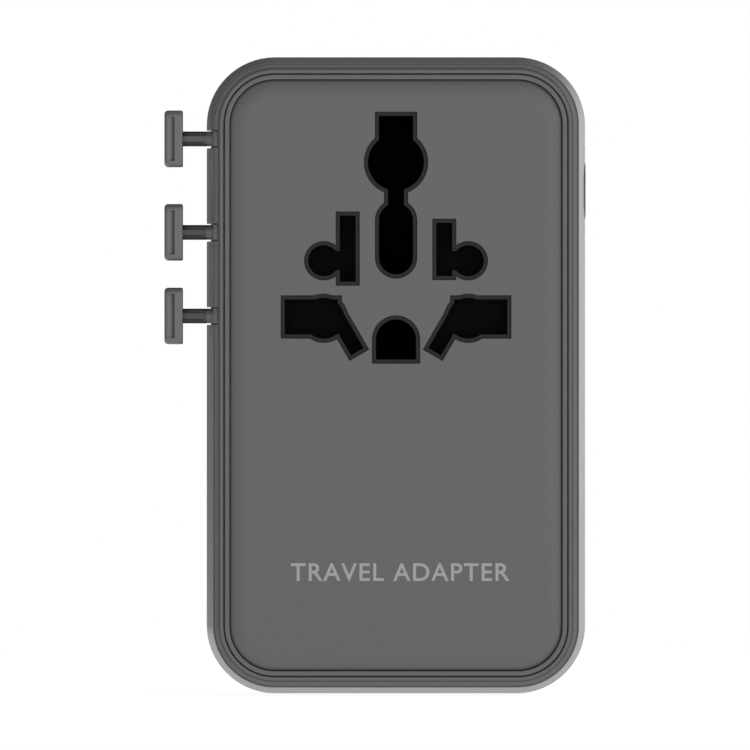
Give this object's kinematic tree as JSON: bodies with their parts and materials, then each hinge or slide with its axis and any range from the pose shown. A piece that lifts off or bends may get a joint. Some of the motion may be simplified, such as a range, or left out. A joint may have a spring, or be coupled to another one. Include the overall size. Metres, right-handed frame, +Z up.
{
  "type": "travel adapter",
  "caption": "Upright travel plug adapter: shuttered universal socket face, retracting pins worked by side sliders, release button, fuse drawer and USB ports underneath.",
  "frame": {"origin": "middle of the foot, on the surface the adapter stands on", "axes": "+Z up, socket face towards -Y, plug pins leave towards +Y, sliders on the -X side"},
  "size_m": [0.0556, 0.056, 0.084],
  "materials": {
    "shell_grey": "satin",
    "control_grey": "satin",
    "fuse_door_grey": "satin",
    "inner_black": "matt",
    "shutter_black": "matt",
    "sleeve_black": "satin",
    "pin_nickel": "nickel plated",
    "contact_brass": "bright",
    "spring_steel": "bright",
    "screw_steel": "zinc plated",
    "port_steel": "bright",
    "tongue_plastic": "satin",
    "board_green": "solder mask",
    "ferrite": "matt",
    "copper_tape": "tape over copper",
    "capacitor_can": "sleeved",
    "film_yellow": "box",
    "spreader_aluminium": "plain",
    "fuse_glass": "clear"
  },
  "bodies": {
    "housing": {"back_cover": "shell_grey", "bulk_capacitors": "capacitor_can", "busbar_line": "contact_brass", "busbar_neutral": "contact_brass", "choke": "ferrite", "contact_earth": "contact_brass", "contact_line": "contact_brass", "contact_neutral": "contact_brass", "cover_screws": "screw_steel", "face_plate": "shell_grey", "face_trim_ring": "shell_grey", "film_capacitor": "film_yellow", "front_bezel": "shell_grey", "fuse_contacts": "contact_brass", "guide_frame": "inner_black", "heat_spreader": "spreader_aluminium", "lower_shutter_spring": "spring_steel", "main_board": "board_green", "main_housing": "shell_grey", "release_ring": "shell_grey", "release_spring": "spring_steel", "shutter_retainer": "inner_black", "socket_frame": "inner_black", "transformer_core": "ferrite", "transformer_winding": "copper_tape", "upper_shutter_spring_left": "spring_steel", "upper_shutter_spring_right": "spring_steel", "usb_a_port": "port_steel", "usb_board": "board_green", "usb_c_port_1": "port_steel", "usb_c_port_2": "port_steel", "usb_c_port_3": "port_steel", "usb_tongues": "tongue_plastic"},
    "uk_slider": {"uk_knob": "control_grey", "uk_carriage": "control_grey", "uk_pin_line": "pin_nickel", "uk_pin_neutral": "pin_nickel", "uk_pin_earth": "pin_nickel", "uk_pin_sleeves": "sleeve_black"},
    "eu_slider": {"eu_knob": "control_grey", "eu_carriage": "control_grey", "eu_pin_left": "pin_nickel", "eu_pin_right": "pin_nickel", "eu_pin_sleeves": "sleeve_black"},
    "us_slider": {"us_knob": "control_grey", "us_carriage": "control_grey"},
    "us_left": {"us_turret_left": "inner_black", "us_blade_left": "pin_nickel"},
    "us_right": {"us_turret_right": "inner_black", "us_blade_right": "pin_nickel"},
    "button": {"release_button": "control_grey", "lock_plate": "inner_black"},
    "lower_shutters": {"lower_shutter": "shutter_black"},
    "upper_left_shutter": {"upper_shutter_left": "shutter_black"},
    "upper_right_shutter": {"upper_shutter_right": "shutter_black"},
    "fuse_tray": {"fuse_drawer": "fuse_door_grey", "fuse": "fuse_glass", "spare_fuse": "fuse_glass"}
  },
  "joints": [
    {"name": "uk_pins_out", "type": "slide", "parent": "housing", "child": "uk_slider", "axis": [0, 1, 0], "range_m": [0, 0.0232]},
    {"name": "eu_pins_out", "type": "slide", "parent": "housing", "child": "eu_slider", "axis": [0, 1, 0], "range_m": [0, 0.0196]},
    {"name": "us_pins_out", "type": "slide", "parent": "housing", "child": "us_slider", "axis": [0, 1, 0], "range_m": [0, 0.0171]},
    {"name": "left_blade_turn", "type": "hinge", "parent": "us_slider", "child": "us_left", "pos_m": [-0.00635, 0, 0.0559], "axis": [0, 1, 0], "range_deg": [0, 30]},
    {"name": "right_blade_turn", "type": "hinge", "parent": "us_slider", "child": "us_right", "pos_m": [0.00635, 0, 0.0559], "axis": [0, 1, 0], "range_deg": [-30, 0]},
    {"name": "release_press", "type": "slide", "parent": "housing", "child": "button", "axis": [-1, 0, 0], "range_m": [0, 0.001], "stiffness_N_per_m": 600, "springref_m": -0.002},
    {"name": "lower_shutter_open", "type": "slide", "parent": "housing", "child": "lower_shutters", "axis": [0, 0, -1], "range_m": [0, 0.0093], "stiffness_N_per_m": 40, "springref_m": -0.004, "deforming": ["lower_shutter_spring"]},
    {"name": "upper_left_shutter_open", "type": "slide", "parent": "housing", "child": "upper_left_shutter", "axis": [0, 0, 1], "range_m": [0, 0.0095], "stiffness_N_per_m": 40, "springref_m": -0.004, "deforming": ["upper_shutter_spring_left"]},
    {"name": "upper_right_shutter_open", "type": "slide", "parent": "housing", "child": "upper_right_shutter", "axis": [0, 0, 1], "range_m": [0, 0.0095], "stiffness_N_per_m": 40, "springref_m": -0.004, "deforming": ["upper_shutter_spring_right"]},
    {"name": "fuse_drawer_out", "type": "slide", "parent": "housing", "child": "fuse_tray", "axis": [0, 1, 0], "range_m": [0, 0.012]}
  ],
  "couplings": [
    {"joint": "upper_right_shutter_open", "follows": "upper_left_shutter_open", "ratio": 1}
  ]
}
